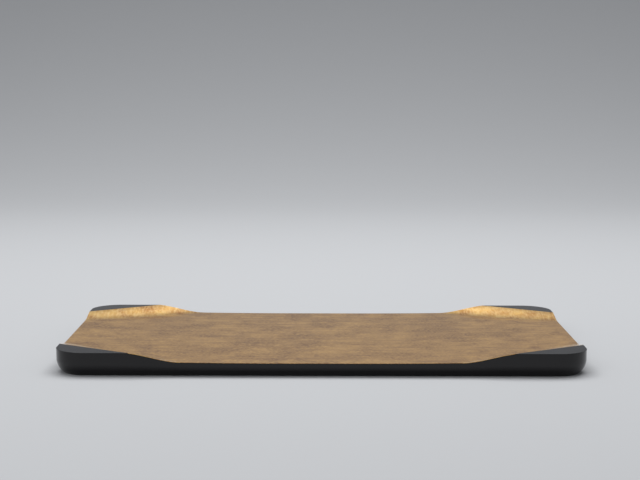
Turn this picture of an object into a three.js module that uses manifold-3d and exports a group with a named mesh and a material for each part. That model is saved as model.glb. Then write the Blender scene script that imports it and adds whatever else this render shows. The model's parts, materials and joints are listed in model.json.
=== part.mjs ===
import * as THREE from 'three';
import { mergeVertices } from 'three/addons/utils/BufferGeometryUtils.js';
import Module from 'manifold-3d';

const wasm = await Module();
wasm.setup();

// A long, low lacquer dish with four raised corners.
// Millimetres, +Z up, X along the long side, origin at the centre of the face it rests on.

// Overall sizes
const dishLength = 400;
const dishWidth = 225;
const planCornerRadius = 24;
const longEdgeHeight = 10.6;
const endEdgeHeight = 14.4;
const cornerHeight = 18;

// The wall is upright at the top and curls under in an arc to the foot
const undercutStart = 11;
const undercutRadius = 14;
const undercutSteps = 5;
const cornerSegments = 7;

// Each raised corner is a triangle in plan, and a cove falls from its crest to the field
const crestAlongLength = 57;
const crestAlongWidth = 37;
const coveWidth = 21;
const coveHollowShare = 0.4;
const fieldRiseExponent = 3;

// Layers, from the outside in
const lacquerThickness = 1;
const goldThickness = 0.8;
const clothThickness = 0.8;
const layerGap = 0.3;

// The corner blocks sit on the board, each held by a round stub tenon
const tenonDiameter = 10;
const tenonDepth = 4;
const tenonInset = 19;
const blockFeather = 6;

// Grid of the upper surface, close under the coves and wide over the field
const coveGridStep = 12;
const fieldGridStep = 34;
const gridMargin = 12;
const tallEnough = 40;

const crestNormal = Math.hypot(1 / crestAlongLength, 1 / crestAlongWidth);
const clothDepth = goldThickness + layerGap;
const woodDepth = clothDepth + clothThickness + layerGap;
const clothInset = lacquerThickness + layerGap;
const woodInset = clothInset + clothThickness + layerGap;
const corners = [
  ['front_left', -1, -1],
  ['front_right', 1, -1],
  ['rear_left', -1, 1],
  ['rear_right', 1, 1],
];

const smooth = (t) => t * t * (3 - 2 * t);

// Distance past the crest line, towards the corner, of a point in plan
function pastCrest(x, y) {
  const fromEnd = dishLength / 2 - Math.abs(x);
  const fromSide = dishWidth / 2 - Math.abs(y);
  return (1 - fromEnd / crestAlongLength - fromSide / crestAlongWidth) / crestNormal;
}

// The field is level across the dish and rises gently towards both ends
function fieldHeight(x) {
  const along = Math.min(Math.abs(x) / (dishLength / 2), 1);
  return longEdgeHeight + (endEdgeHeight - longEdgeHeight) * along ** fieldRiseExponent;
}

function topHeight(x, y) {
  const t = THREE.MathUtils.clamp(-pastCrest(x, y) / coveWidth, 0, 1);
  const fall = (1 - coveHollowShare) * smooth(1 - t) + coveHollowShare * (1 - t) ** 2;
  return fieldHeight(x) + (cornerHeight - fieldHeight(x)) * fall;
}

function toSolid(geometry) {
  geometry.deleteAttribute('normal');
  geometry.deleteAttribute('uv');
  const merged = mergeVertices(geometry, 1e-5);
  return new wasm.Manifold(new wasm.Mesh({
    numProp: 3,
    vertProperties: new Float32Array(merged.attributes.position.array),
    triVerts: new Uint32Array(merged.index.array),
  }));
}

function toGeometry(solid) {
  const mesh = solid.getMesh();
  const geometry = new THREE.BufferGeometry();
  geometry.setAttribute('position', new THREE.BufferAttribute(mesh.vertProperties, 3));
  geometry.setIndex(new THREE.BufferAttribute(mesh.triVerts, 1));
  geometry.computeVertexNormals();
  return geometry;
}

function join(solids) {
  return solids.reduce((all, solid) => all.add(solid));
}

// A closed mesh from rows of points that run round, with a flat cap at both ends
function loft(rings) {
  const count = rings[0].length;
  const points = rings.flat();
  const faces = [];
  for (let level = 0; level + 1 < rings.length; level += 1) {
    for (let i = 0; i < count; i += 1) {
      const a = level * count + i;
      const b = level * count + (i + 1) % count;
      faces.push(a, b, b + count, a, b + count, a + count);
    }
  }
  const last = (rings.length - 1) * count;
  for (let i = 1; i + 1 < count; i += 1) {
    faces.push(0, i + 1, i, last, last + i, last + i + 1);
  }
  const geometry = new THREE.BufferGeometry();
  geometry.setAttribute('position', new THREE.Float32BufferAttribute(points.flat(), 3));
  geometry.setIndex(faces);
  return toSolid(geometry);
}

function planRing(inset, z) {
  const ring = [];
  const radius = planCornerRadius - inset;
  const centreX = dishLength / 2 - planCornerRadius;
  const centreY = dishWidth / 2 - planCornerRadius;
  const signs = [[1, 1], [-1, 1], [-1, -1], [1, -1]];
  signs.forEach(([signX, signY], quarter) => {
    for (let i = 0; i <= cornerSegments; i += 1) {
      const angle = (quarter + i / cornerSegments) * Math.PI / 2;
      ring.push([
        signX * centreX + radius * Math.cos(angle),
        signY * centreY + radius * Math.sin(angle),
        z,
      ]);
    }
  });
  return ring;
}

function undercutInset(z) {
  const below = Math.max(undercutStart - z, 0);
  return undercutRadius - Math.sqrt(undercutRadius ** 2 - below ** 2);
}

// Everything inside the wall once a skin of the given thickness is taken off
function body(inset) {
  const rings = [];
  for (let i = 0; i <= undercutSteps; i += 1) {
    const z = inset + (undercutStart - inset) * i / undercutSteps;
    rings.push(planRing(undercutInset(z) + inset, z));
  }
  rings.push(planRing(inset, tallEnough));
  return loft(rings);
}

function gridLines(half, reach) {
  const lines = [];
  const coveStart = half - reach;
  const fieldCells = Math.ceil(coveStart / fieldGridStep);
  for (let i = 0; i < fieldCells; i += 1) lines.push(coveStart * i / fieldCells);
  const coveCells = Math.ceil(reach / coveGridStep);
  for (let i = 0; i <= coveCells; i += 1) lines.push(coveStart + reach * i / coveCells);
  lines.push(half + gridMargin);
  const mirrored = lines.slice(1).reverse().map((value) => -value);
  return [...mirrored, ...lines];
}

// Everything below a surface given by its height, down to under the foot
function below(height) {
  const reach = 1 + coveWidth * crestNormal;
  const xs = gridLines(dishLength / 2, crestAlongLength * reach);
  const ys = gridLines(dishWidth / 2, crestAlongWidth * reach);
  const box = new THREE.BoxGeometry(1, 1, 1, xs.length - 1, ys.length - 1, 1);
  const position = box.attributes.position;
  for (let i = 0; i < position.count; i += 1) {
    const x = xs[Math.round((position.getX(i) + 0.5) * (xs.length - 1))];
    const y = ys[Math.round((position.getY(i) + 0.5) * (ys.length - 1))];
    position.setXYZ(i, x, y, position.getZ(i) > 0 ? height(x, y) : -gridMargin);
  }
  return toSolid(box);
}

// An upright wedge over each raised corner, up to a distance past the crest line
function cornerWedge(signX, signY, past) {
  const share = 1 - past * crestNormal;
  const far = gridMargin;
  const outline = [
    [-far, -far],
    [crestAlongLength * (share + far / crestAlongWidth), -far],
    [-far, crestAlongWidth * (share + far / crestAlongLength)],
  ];
  const points = outline.map(([fromEnd, fromSide]) => new THREE.Vector2(
    signX * (dishLength / 2 - fromEnd),
    signY * (dishWidth / 2 - fromSide),
  ));
  const shape = new THREE.Shape(points);
  const wedge = new THREE.ExtrudeGeometry(shape, { depth: 2 * tallEnough, bevelEnabled: false });
  wedge.translate(0, 0, -tallEnough);
  return toSolid(wedge);
}

function allWedges(past) {
  return join(corners.map(([, signX, signY]) => cornerWedge(signX, signY, past)));
}

function tenon(signX, signY, radius, bottom, top) {
  const round = new THREE.CylinderGeometry(radius, radius, top - bottom, 16);
  round.rotateX(Math.PI / 2);
  round.translate(
    signX * (dishLength / 2 - tenonInset),
    signY * (dishWidth / 2 - tenonInset),
    (top + bottom) / 2,
  );
  return toSolid(round);
}

const belowTop = (depth) => below((x, y) => topHeight(x, y) - depth);
const belowField = (depth) => below((x) => fieldHeight(x) - depth);

const tenonSeat = fieldHeight(dishLength / 2 - tenonInset) - woodDepth;
const tenonBottom = tenonSeat - tenonDepth;
const tenonTop = cornerHeight - woodDepth - 2 * layerGap;

function coreBoard() {
  const plank = body(woodInset).intersect(belowField(woodDepth));
  const mortises = corners.map(([, signX, signY]) => tenon(
    signX,
    signY,
    tenonDiameter / 2 + layerGap,
    tenonBottom - layerGap,
    tallEnough,
  ));
  return plank.subtract(join(mortises));
}

function cornerBlock(signX, signY) {
  const block = body(woodInset)
    .intersect(belowTop(woodDepth))
    .subtract(belowField(woodDepth - layerGap))
    .intersect(cornerWedge(signX, signY, blockFeather - coveWidth));
  return block.add(tenon(signX, signY, tenonDiameter / 2, tenonBottom, tenonTop));
}

function clothUnder() {
  return body(clothInset)
    .subtract(body(clothInset + clothThickness))
    .intersect(belowTop(woodDepth));
}

function clothTop() {
  return body(clothInset)
    .intersect(belowTop(clothDepth))
    .subtract(belowTop(clothDepth + clothThickness));
}

// The black coat wraps the foot and the wall, and caps the four raised corners
function blackLacquer() {
  const outside = body(0).intersect(belowTop(0));
  const hollow = body(lacquerThickness).intersect(belowTop(goldThickness));
  const aroundAll = loft([planRing(-gridMargin / 2, 0), planRing(-gridMargin / 2, tallEnough)]);
  const underGold = aroundAll
    .subtract(belowTop(clothDepth))
    .subtract(allWedges(0));
  return outside.subtract(hollow).subtract(underGold);
}

function goldSheet() {
  return body(0).intersect(belowTop(0)).subtract(belowTop(goldThickness));
}

function goldField() {
  return goldSheet().subtract(allWedges(-coveWidth));
}

function cornerGilding(signX, signY) {
  return goldSheet()
    .intersect(cornerWedge(signX, signY, layerGap - coveWidth))
    .subtract(cornerWedge(signX, signY, -layerGap));
}

const wood = new THREE.MeshStandardMaterial({ color: 0xb98f5e, roughness: 0.8, metalness: 0 });
const hemp = new THREE.MeshStandardMaterial({ color: 0x8a7458, roughness: 0.95, metalness: 0 });
const black = new THREE.MeshStandardMaterial({ color: 0x121113, roughness: 0.12, metalness: 0 });
const gold = new THREE.MeshStandardMaterial({ color: 0xc09a5c, roughness: 0.35, metalness: 0.7 });
const leaf = new THREE.MeshStandardMaterial({ color: 0xe0b25e, roughness: 0.3, metalness: 0.9 });

const dish = new THREE.Group();

function place(name, solid, material) {
  const mesh = new THREE.Mesh(toGeometry(solid), material.clone());
  mesh.name = name;
  dish.add(mesh);
}

place('core_board', coreBoard(), wood);
place('cloth_under', clothUnder(), hemp);
place('cloth_top', clothTop(), hemp);
place('black_lacquer', blackLacquer(), black);
place('gold_field', goldField(), gold);
for (const [corner, signX, signY] of corners) {
  place(`corner_block_${corner}`, cornerBlock(signX, signY), wood);
  place(`corner_gilding_${corner}`, cornerGilding(signX, signY), leaf);
}

export default dish;
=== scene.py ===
# %% [markdown]
# A long, low lacquer dish: black walls that curl under to a flat foot, a gold field over the
# top, and four raised corners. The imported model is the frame. Every surface that shows is made
# again here as a fine mesh over the same sizes, because the frame's own solids have wide
# facets that would break up the reflections in polished lacquer. Units are metres.

# %% Load the frame
import json
import math
import bmesh
import bpy
from mathutils import Matrix, Vector

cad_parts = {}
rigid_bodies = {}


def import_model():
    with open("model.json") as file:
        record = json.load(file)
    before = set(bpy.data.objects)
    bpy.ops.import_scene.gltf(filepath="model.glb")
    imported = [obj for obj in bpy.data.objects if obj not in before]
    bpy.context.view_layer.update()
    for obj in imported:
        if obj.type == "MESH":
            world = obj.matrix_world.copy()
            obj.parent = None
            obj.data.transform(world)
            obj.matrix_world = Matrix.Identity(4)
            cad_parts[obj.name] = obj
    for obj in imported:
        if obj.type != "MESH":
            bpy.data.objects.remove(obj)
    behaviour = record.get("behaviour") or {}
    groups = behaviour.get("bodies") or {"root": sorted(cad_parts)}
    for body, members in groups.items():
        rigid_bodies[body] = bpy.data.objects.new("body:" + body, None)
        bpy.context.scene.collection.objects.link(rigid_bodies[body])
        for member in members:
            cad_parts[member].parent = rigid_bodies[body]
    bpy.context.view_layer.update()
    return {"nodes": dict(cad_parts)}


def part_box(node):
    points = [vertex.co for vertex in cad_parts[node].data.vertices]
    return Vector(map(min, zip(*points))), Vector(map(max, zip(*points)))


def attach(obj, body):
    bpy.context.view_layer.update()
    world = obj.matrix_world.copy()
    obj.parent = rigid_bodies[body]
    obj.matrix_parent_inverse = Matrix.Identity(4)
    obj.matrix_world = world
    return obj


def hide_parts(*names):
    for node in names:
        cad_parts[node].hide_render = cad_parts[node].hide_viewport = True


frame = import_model()

# %% [markdown]
# The outline comes from the frame's own box. The rest are the maker's sizes: the radius of the
# plan's corners, how high the edges stand, and the triangle that each raised corner makes. A
# cove falls from each triangle's crest to the field.

# %% Sizes
MM = 0.001
low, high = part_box("black_lacquer")
HALF_X = (high[0] - low[0]) / 2
HALF_Y = (high[1] - low[1]) / 2
CORNER_Z = high[2]
LONG_EDGE_Z = 10.6 * MM
END_EDGE_Z = 14.4 * MM
PLAN_RADIUS = 24 * MM
CREST_X = 57 * MM
CREST_Y = 37 * MM
CREST_NORMAL = math.hypot(1 / CREST_X, 1 / CREST_Y)
COVE = 21 * MM
COVE_HOLLOW = 0.4
RISE_POWER = 3
GOLD_SKIN = 0.35 * MM
CORNERS = [
    ("front_left", -1, -1),
    ("front_right", 1, -1),
    ("rear_left", -1, 1),
    ("rear_right", 1, 1),
]
print("half length and half width", HALF_X, HALF_Y, "height at the corners", CORNER_Z)

# %% [markdown]
# The top is one surface, so it is given as one height for each point of the plan. It could be
# modelled corner by corner, but a single formula keeps the four corners alike and makes the
# coves run out smoothly into the long edges, as they do on the dish.

# %% Height of the top
def past_crest(x, y):
    """Distance past the crest line of the nearest raised corner, towards that corner."""
    from_end = HALF_X - abs(x)
    from_side = HALF_Y - abs(y)
    return (1 - from_end / CREST_X - from_side / CREST_Y) / CREST_NORMAL


def field_z(x):
    """The field is level across the dish and rises gently towards both ends."""
    along = min(abs(x) / HALF_X, 1)
    return LONG_EDGE_Z + (END_EDGE_Z - LONG_EDGE_Z) * along ** RISE_POWER


def top_z(x, y):
    """Height of the field, of a cove, or of the black top of a corner."""
    down_the_cove = min(max(-past_crest(x, y) / COVE, 0), 1)
    left = 1 - down_the_cove
    fall = (1 - COVE_HOLLOW) * left * left * (3 - 2 * left) + COVE_HOLLOW * left * left
    return field_z(x) + (CORNER_Z - field_z(x)) * fall


print("field at the middle and at the ends", top_z(0, 0), top_z(HALF_X, 0))

# %% [markdown]
# The top is drawn as one flat card: a rectangle whose four corners are rounded by a vertex
# bevel. Straight cuts across it give it points where the surface will bend. The cuts along
# each crest and cove keep the border between black and gold a clean line.

# %% The card of the top
CARD_STEP = 8 * MM
COVE_CUTS = 14
ARC_SEGMENTS = 24
CUT_TOLERANCE = 1e-7
MERGE_DISTANCE = 0.01 * MM


def cut(bm, point, normal):
    geometry = bm.verts[:] + bm.edges[:] + bm.faces[:]
    bmesh.ops.bisect_plane(bm, geom=geometry, plane_co=point, plane_no=normal,
                           dist=CUT_TOLERANCE)


def cut_squares(bm):
    columns = round(2 * HALF_X / CARD_STEP)
    for i in range(1, columns):
        cut(bm, (-HALF_X + 2 * HALF_X * i / columns, 0, 0), (1, 0, 0))
    rows = round(2 * HALF_Y / CARD_STEP)
    for i in range(1, rows):
        cut(bm, (0, -HALF_Y + 2 * HALF_Y * i / rows, 0), (0, 1, 0))


def cut_coves(bm):
    for _, sx, sy in CORNERS:
        normal = Vector((sx / CREST_X, sy / CREST_Y, 0)).normalized()
        crest = Vector((sx * (HALF_X - CREST_X), sy * HALF_Y, 0))
        for i in range(COVE_CUTS + 1):
            cut(bm, crest - normal * COVE * i / COVE_CUTS, normal)


def top_card():
    bm = bmesh.new()
    bmesh.ops.create_grid(bm, x_segments=1, y_segments=1, size=1)
    bmesh.ops.scale(bm, vec=(HALF_X, HALF_Y, 1), verts=bm.verts)
    bmesh.ops.bevel(bm, geom=bm.verts[:], offset=PLAN_RADIUS, affect="VERTICES",
                    segments=ARC_SEGMENTS, profile=0.5, material=-1)
    cut_squares(bm)
    cut_coves(bm)
    bmesh.ops.remove_doubles(bm, verts=bm.verts, dist=MERGE_DISTANCE)
    for vert in bm.verts:
        vert.co.z = top_z(vert.co.x, vert.co.y)
    bmesh.ops.recalc_face_normals(bm, faces=bm.faces)
    if bm.faces[0].normal.z < 0:
        bmesh.ops.reverse_faces(bm, faces=bm.faces)
    return bm


# %% [markdown]
# Each piece is finished in the same way: smooth faces, sharp lines where the surface breaks,
# and, where a width is given, a soft edge from a Bevel modifier, because polish always rounds an
# edge a little. Then the frame's node that the piece stands for is hidden.

# %% Finish a piece
SHARP_ANGLE = math.radians(35)
SOFT_EDGE_SEGMENTS = 3


def new_object(name, bm):
    for face in bm.faces:
        face.smooth = True
    mesh = bpy.data.meshes.new(name)
    bm.to_mesh(mesh)
    bm.free()
    made = bpy.data.objects.new(name, mesh)
    bpy.context.scene.collection.objects.link(made)
    return made


def soften_edges(piece, width):
    bevel = piece.modifiers.new("soft edge", "BEVEL")
    bevel.width = width
    bevel.segments = SOFT_EDGE_SEGMENTS
    bevel.limit_method = "ANGLE"
    bevel.angle_limit = SHARP_ANGLE
    bevel.harden_normals = True


def finish_piece(bm, name, node, material, soft_edge=0):
    bmesh.ops.recalc_face_normals(bm, faces=bm.faces)
    piece = new_object(name, bm)
    piece.data.set_sharp_from_angle(angle=SHARP_ANGLE)
    if soft_edge:
        soften_edges(piece, soft_edge)
    piece.data.materials.append(material)
    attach(piece, "root")
    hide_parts(node)
    print(name, len(piece.data.polygons), "faces")


# %% [markdown]
# A finish is a node tree. This small class wraps a socket, so that shader maths reads as
# ordinary Python.

# %% Shader maths
class Wire:
    def __init__(self, tree, socket):
        self.tree = tree
        self.socket = socket

    def maths(self, operation, other):
        return add_node(self.tree, "ShaderNodeMath", {"operation": operation},
                        {0: self, 1: other})

    def __add__(self, other):
        return self.maths("ADD", other)

    def __mul__(self, other):
        return self.maths("MULTIPLY", other)

    __radd__ = __add__
    __rmul__ = __mul__


def feed(tree, socket, value):
    if isinstance(value, Wire):
        tree.links.new(value.socket, socket)
    else:
        socket.default_value = value


def add_node(tree, kind, settings, sockets, output=0):
    """Adds a node, gives it its settings first and then what goes into its sockets."""
    node = tree.nodes.new(kind)
    for name, value in settings.items():
        setattr(node, name, value)
    for key, value in sockets.items():
        feed(tree, node.inputs[key], value)
    return Wire(tree, node.outputs[output])


# %% [markdown]
# Every finish here is built from noise at the scale of grains, strokes or clouds, blended into
# colours and a little relief. The patterns read Object coordinates, so they stay in place on
# the piece from any side.

# %% Finish builder
OBJECT_COORDINATES = 3
MIX_COLOUR_A = 6
MIX_COLOUR_B = 7
MIX_COLOUR_RESULT = 2


class Finish:
    def __init__(self, name):
        self.material = bpy.data.materials.new(name)
        self.material.use_nodes = True
        self.tree = self.material.node_tree
        self.shader = self.tree.nodes["Principled BSDF"]

    def set(self, **values):
        for name, value in values.items():
            feed(self.tree, self.shader.inputs[name.replace("_", " ")], value)

    def place(self, scale, turn):
        where = add_node(self.tree, "ShaderNodeTexCoord", {}, {}, OBJECT_COORDINATES)
        return add_node(self.tree, "ShaderNodeMapping", {},
                        {"Vector": where, "Scale": scale, "Rotation": (0, 0, turn)})

    def noise(self, size, detail, scale=(1, 1, 1), turn=0.0):
        return add_node(self.tree, "ShaderNodeTexNoise", {}, {
            "Vector": self.place(scale, turn),
            "Scale": 1 / size,
            "Detail": detail,
        })

    def blend(self, factor, first, second):
        return add_node(self.tree, "ShaderNodeMix", {"data_type": "RGBA"},
                        {0: factor, MIX_COLOUR_A: first, MIX_COLOUR_B: second},
                        MIX_COLOUR_RESULT)

    def span(self, value, start, end):
        return add_node(self.tree, "ShaderNodeMapRange", {},
                        {"Value": value, "From Min": start, "From Max": end})

    def bump(self, height, strength, distance):
        return add_node(self.tree, "ShaderNodeBump", {},
                        {"Height": height, "Strength": strength, "Distance": distance})


# %% [markdown]
# Black lacquer is polished by hand with charcoal and powder. It is nearly a mirror, but the
# polish varies a little, and the surface keeps a faint, slow waviness.

# %% Black lacquer finish
def black_lacquer_finish():
    finish = Finish("black_lacquer")
    cloud = finish.noise(30 * MM, detail=4)
    scuffs = finish.span(finish.noise(2 * MM, detail=2, scale=(0.15, 1, 1)), 0.55, 0.8)
    colour = finish.blend(cloud, (0.0055, 0.005, 0.0058, 1), (0.009, 0.008, 0.0085, 1))
    finish.set(Base_Color=colour, Roughness=0.07 + 0.05 * cloud + 0.05 * scuffs, IOR=1.42)
    waviness = finish.noise(14 * MM, detail=1)
    finish.set(Normal=finish.bump(waviness, strength=0.05, distance=0.1 * MM))
    return finish.material


black = black_lacquer_finish()
print("nodes in the black lacquer", len(black.node_tree.nodes))

# %% [markdown]
# The field is gold powder sprinkled on wet lacquer, then covered with clear lacquer and
# polished. The powder gives grains and slow clouds of denser gold, the polish leaves fine
# streaks along the dish, and the clear coat mirrors the room at a low angle.

# %% Gold powder finish
def gold_powder_finish():
    finish = Finish("gold_ground")
    grains = finish.noise(1.1 * MM, detail=3, scale=(0.5, 1, 1))
    clouds = finish.noise(20 * MM, detail=6)
    streaks = finish.noise(3 * MM, detail=4, scale=(0.06, 1, 1))
    dense = finish.span(clouds, 0.36, 0.64)
    ground = finish.blend(dense, (0.24, 0.115, 0.035, 1), (0.46, 0.26, 0.085, 1))
    specks = finish.span(grains, 0.40, 0.66)
    colour = finish.blend(specks * 0.6, ground, (0.70, 0.45, 0.17, 1))
    rubbed = finish.span(streaks, 0.45, 0.70) * 0.5
    colour = finish.blend(rubbed, colour, (0.20, 0.10, 0.04, 1))
    finish.set(Base_Color=colour, Metallic=0.75, Roughness=0.38 + 0.2 * grains)
    finish.set(Coat_Weight=0.55, Coat_Roughness=0.08, Coat_IOR=1.45)
    height = grains * 0.6 + streaks * 0.4
    finish.set(Normal=finish.bump(height, strength=0.35, distance=0.08 * MM))
    return finish.material


powder = gold_powder_finish()
print("nodes in the gold powder", len(powder.node_tree.nodes))

# %% [markdown]
# The coves carry brighter gold, laid more densely. The strokes that laid it run down the
# slope, so the fine striation is turned to each corner's own slope.

# %% Gold leaf finish
def gold_leaf_finish(name, turn):
    finish = Finish(name)
    strokes = finish.noise(1.6 * MM, detail=3, scale=(1, 0.08, 1), turn=turn)
    clouds = finish.span(finish.noise(16 * MM, detail=3), 0.35, 0.65)
    warm = finish.blend(clouds, (0.50, 0.22, 0.04, 1), (0.80, 0.48, 0.13, 1))
    bright = finish.span(strokes, 0.4, 0.7) * 0.6
    colour = finish.blend(bright, warm, (0.86, 0.64, 0.30, 1))
    finish.set(Base_Color=colour, Metallic=0.8, Roughness=0.30 + 0.14 * strokes)
    finish.set(Coat_Weight=0.9, Coat_Roughness=0.05, Coat_IOR=1.5)
    finish.set(Normal=finish.bump(strokes, strength=0.15, distance=0.05 * MM))
    return finish.material


# %% [markdown]
# The wood and the cloth stay hidden under the lacquer, and still get their own finish for
# whoever takes the dish apart. Their solids are right as they are, so they are only given a
# material.

# %% Wood and cloth finishes
def wood_finish():
    finish = Finish("wood")
    grain = finish.noise(1.5 * MM, detail=4, scale=(0.05, 1, 1))
    colour = finish.blend(grain, (0.42, 0.25, 0.11, 1), (0.56, 0.37, 0.18, 1))
    finish.set(Base_Color=colour, Roughness=0.6 + 0.2 * grain)
    finish.set(Normal=finish.bump(grain, strength=0.3, distance=0.1 * MM))
    return finish.material


def cloth_finish():
    finish = Finish("cloth")
    warp = finish.noise(0.8 * MM, detail=1, scale=(0.05, 1, 1))
    weft = finish.noise(0.8 * MM, detail=1, scale=(1, 0.05, 1))
    weave = (warp + weft) * 0.5
    colour = finish.blend(weave, (0.18, 0.125, 0.07, 1), (0.34, 0.26, 0.17, 1))
    finish.set(Base_Color=colour, Roughness=0.9)
    finish.set(Normal=finish.bump(weave, strength=0.5, distance=0.2 * MM))
    return finish.material


def give_material(nodes, material):
    for node in nodes:
        hidden = frame["nodes"][node]
        hidden.data.materials.clear()
        hidden.data.materials.append(material)
        print(node, "is", material.name)


give_material(["core_board"] + ["corner_block_" + corner for corner, _, _ in CORNERS],
              wood_finish())
give_material(["cloth_under", "cloth_top"], cloth_finish())

# %% [markdown]
# The wall stands upright at the top and curls under in an arc to the foot. A point of the rim
# slides inwards along the outline's own normal, which is found from the rectangle that joins
# the centres of the four round corners.

# %% The wall's section
WALL_STEPS = 14
WALL_TOP_Z = 9.6 * MM
UNDERCUT_START = 11 * MM
UNDERCUT_RADIUS = 14 * MM


def inset_at(z):
    drop = max(UNDERCUT_START - z, 0)
    return UNDERCUT_RADIUS - math.sqrt(UNDERCUT_RADIUS ** 2 - drop ** 2)


def slide_in(vert, z):
    inner_x = min(max(vert.co.x, PLAN_RADIUS - HALF_X), HALF_X - PLAN_RADIUS)
    inner_y = min(max(vert.co.y, PLAN_RADIUS - HALF_Y), HALF_Y - PLAN_RADIUS)
    outward = Vector((vert.co.x - inner_x, vert.co.y - inner_y)).normalized()
    reach = PLAN_RADIUS - inset_at(z)
    vert.co = Vector((inner_x + outward.x * reach, inner_y + outward.y * reach, z))


print("the foot lies in from the wall by", inset_at(0))

# %% [markdown]
# The black body is the card with the gold's thickness taken off, walls drawn down from its
# rim, and a flat foot. The four corner tops are raised back to the full height, so black
# meets gold in a small step, as on a dish whose gold is laid after the black.

# %% Black body
BLACK_SOFT_EDGE = 0.35 * MM


def only(kind, items):
    return [item for item in items if isinstance(item, kind)]


def crest_side(face):
    """The middle of a face, and its distance past the crest line."""
    middle = face.calc_center_median()
    return past_crest(middle.x, middle.y), middle


def raise_corner_tops(bm):
    tops = [face for face in bm.faces if crest_side(face)[0] > 0]
    raised = bmesh.ops.extrude_face_region(bm, geom=tops)["geom"]
    bmesh.ops.translate(bm, vec=(0, 0, GOLD_SKIN), verts=only(bmesh.types.BMVert, raised))
    bmesh.ops.delete(bm, geom=tops, context="FACES_ONLY")


def draw_walls_down(bm):
    rim = [edge for edge in bm.edges if edge.is_boundary]
    for i in range(WALL_STEPS + 1):
        z = WALL_TOP_Z * (1 - i / WALL_STEPS)
        made = bmesh.ops.extrude_edge_only(bm, edges=rim)["geom"]
        for vert in only(bmesh.types.BMVert, made):
            slide_in(vert, z)
        rim = only(bmesh.types.BMEdge, made)
    bmesh.ops.edgenet_fill(bm, edges=rim)


def black_body():
    bm = top_card()
    bmesh.ops.translate(bm, vec=(0, 0, -GOLD_SKIN), verts=bm.verts)
    raise_corner_tops(bm)
    draw_walls_down(bm)
    print("open edges on the black body:", sum(edge.is_boundary for edge in bm.edges))
    return bm


finish_piece(black_body(), "black_body", "black_lacquer", black,
             soft_edge=BLACK_SOFT_EDGE)

# %% [markdown]
# The gold is a thin skin over the body: the field, and one strip down each cove. Each is cut
# from the same card, so its border fits the black, and is given its thickness downwards. It
# ends just short of the body under it, so that the two never share a face.

# %% Gold skins
SKIN_SHARE = 0.95
GOLD_SOFT_EDGE = 0.1 * MM
SLOPE_TURN = math.atan2(CREST_X, CREST_Y)


def skin(wanted):
    bm = top_card()
    away = [face for face in bm.faces if not wanted(face)]
    bmesh.ops.delete(bm, geom=away, context="FACES")
    made = bmesh.ops.extrude_face_region(bm, geom=bm.faces[:])["geom"]
    upper = set(only(bmesh.types.BMVert, made))
    under = [vert for vert in bm.verts if vert not in upper]
    bmesh.ops.translate(bm, vec=(0, 0, -GOLD_SKIN * SKIN_SHARE), verts=under)
    return bm


def on_field(face):
    return crest_side(face)[0] < -COVE


def on_cove(face, sx, sy):
    past, middle = crest_side(face)
    return -COVE < past < 0 and middle.x * sx > 0 and middle.y * sy > 0


finish_piece(skin(on_field), "gold_field_skin", "gold_field", powder,
             soft_edge=GOLD_SOFT_EDGE)
for corner, sx, sy in CORNERS:
    leaf = gold_leaf_finish("gold_leaf_" + corner, sx * sy * SLOPE_TURN)
    strip = skin(lambda face, sx=sx, sy=sy: on_cove(face, sx, sy))
    finish_piece(strip, "gilt_cove_" + corner, "corner_gilding_" + corner, leaf)

# %% [markdown]
# The floor runs back and curves up into the backdrop, so that no horizon shows. It is stage,
# not part of the dish.

# %% Floor and backdrop
FLOOR_HALF = 3.0
SWEEP_START = 1.2
SWEEP_RADIUS = 2.2
SWEEP_STEPS = 24
FLOOR_GREY = (0.515, 0.525, 0.54, 1)
FLOOR_MERGE = 1e-5
REAR_TOLERANCE = 1e-4


def floor_shape():
    bm = bmesh.new()
    bmesh.ops.create_grid(bm, x_segments=1, y_segments=1, size=FLOOR_HALF)
    bmesh.ops.translate(bm, vec=(0, SWEEP_START - FLOOR_HALF, 0), verts=bm.verts)
    rear_y = SWEEP_START - REAR_TOLERANCE
    rear = [edge for edge in bm.edges if all(vert.co.y > rear_y for vert in edge.verts)]
    bmesh.ops.spin(bm, geom=rear, cent=(0, SWEEP_START, SWEEP_RADIUS), axis=(1, 0, 0),
                   angle=math.pi / 2, steps=SWEEP_STEPS)
    bmesh.ops.remove_doubles(bm, verts=bm.verts, dist=FLOOR_MERGE)
    bmesh.ops.recalc_face_normals(bm, faces=bm.faces)
    return bm


floor_finish = Finish("floor")
floor_finish.set(Base_Color=FLOOR_GREY, Roughness=0.9)
floor = new_object("floor", floor_shape())
floor.data.materials.append(floor_finish.material)
print("floor and backdrop", len(floor.data.polygons), "faces")

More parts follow.
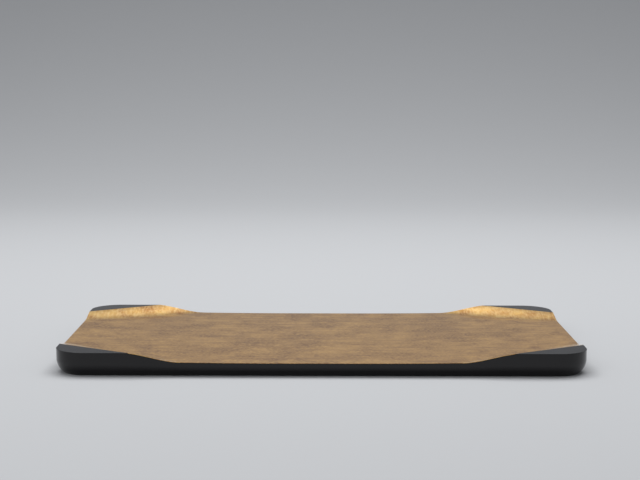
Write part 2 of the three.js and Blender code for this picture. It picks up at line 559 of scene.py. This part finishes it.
# %% [markdown]
# One large soft lamp above and behind gives the coves their light, a second fills from the
# front left, and the grey world lights the rest.

# %% Light
WORLD_GREY = (0.55, 0.56, 0.58, 1)
WORLD_STRENGTH = 0.55


def soft_lamp(name, place, size, watts):
    """A rectangular lamp that faces the dish."""
    data = bpy.data.lights.new(name, "AREA")
    data.shape = "RECTANGLE"
    data.size, data.size_y = size
    data.energy = watts
    lamp = bpy.data.objects.new(name, data)
    lamp.location = place
    lamp.rotation_euler = (-Vector(place)).to_track_quat("-Z", "Y").to_euler()
    bpy.context.scene.collection.objects.link(lamp)
    print(name, watts, "W")


soft_lamp("top softbox", place=(0, 0.5, 1.7), size=(2.0, 1.4), watts=34)
soft_lamp("front fill", place=(-1.2, -1.6, 1.4), size=(1.2, 1.2), watts=9)
world = bpy.data.worlds.new("studio")
world.use_nodes = True
background = world.node_tree.nodes["Background"]
background.inputs["Color"].default_value = WORLD_GREY
background.inputs["Strength"].default_value = WORLD_STRENGTH
bpy.context.scene.world = world
bpy.context.scene.view_settings.view_transform = "Standard"

# %% [markdown]
# The camera's place was worked out from the dish's own rectangle: how long its front and
# rear edges look gives the distance, and how far apart they lie gives the height. A long lens
# keeps the two ends nearly parallel.

# %% Camera
FOCAL_PIXELS = 1500
IMAGE_WIDTH = 640
SENSOR_MM = 36.0
CAMERA_PLACE = (-0.0013, -1.2035, 0.2296)
CAMERA_DOWN = math.radians(6.65)
CAMERA_ROLL = math.radians(0.13)

camera_data = bpy.data.cameras.new("camera")
camera_data.sensor_width = SENSOR_MM
camera_data.lens = FOCAL_PIXELS / IMAGE_WIDTH * SENSOR_MM
camera = bpy.data.objects.new("camera", camera_data)
look = Matrix.Rotation(math.pi / 2 - CAMERA_DOWN, 4, "X")
roll = Matrix.Rotation(CAMERA_ROLL, 4, "Z")
camera.matrix_world = Matrix.Translation(CAMERA_PLACE) @ look @ roll
bpy.context.scene.collection.objects.link(camera)
bpy.context.scene.camera = camera
print("lens", camera_data.lens, "mm")
